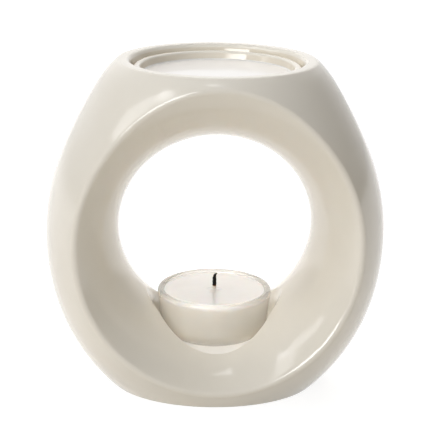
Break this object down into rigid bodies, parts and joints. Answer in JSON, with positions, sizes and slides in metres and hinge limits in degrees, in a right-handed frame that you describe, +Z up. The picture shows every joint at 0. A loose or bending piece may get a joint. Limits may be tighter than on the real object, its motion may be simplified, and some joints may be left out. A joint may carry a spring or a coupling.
{
  "type": "oil burner",
  "caption": "Glazed ceramic oil burner: a barrel body pierced by a flared round tunnel, with a lift-out oil dish in its mouth over a tealight in a glass cup.",
  "frame": {"origin": "centre of the foot, on the surface that the burner stands on", "axes": "+X across the tunnel to the right as seen from the front, +Y from front to back along the tunnel, +Z up"},
  "size_m": [0.1298, 0.0814, 0.128],
  "materials": {
    "ivory_glaze": "glossy ivory glaze",
    "cup_glass": "clear, fire polished",
    "paraffin_wax": "satin white paraffin wax",
    "cotton_wick": "burnt braided cotton",
    "tinned_steel": "tinned"
  },
  "bodies": {
    "body": {"burner_body": "ivory_glaze"},
    "dish": {"oil_dish": "ivory_glaze"},
    "candle": {"tealight_cup": "cup_glass", "candle_wax": "paraffin_wax", "wick": "cotton_wick", "wick_sustainer": "tinned_steel"}
  },
  "joints": [
    {"name": "dish_lift", "type": "slide", "parent": "body", "child": "dish", "axis": [0, 0, 1], "range_m": [0, 0.035]},
    {"name": "candle_out", "type": "slide", "parent": "body", "child": "candle", "axis": [0, -0.6428, 0.766], "range_m": [0, 0.085]}
  ]
}
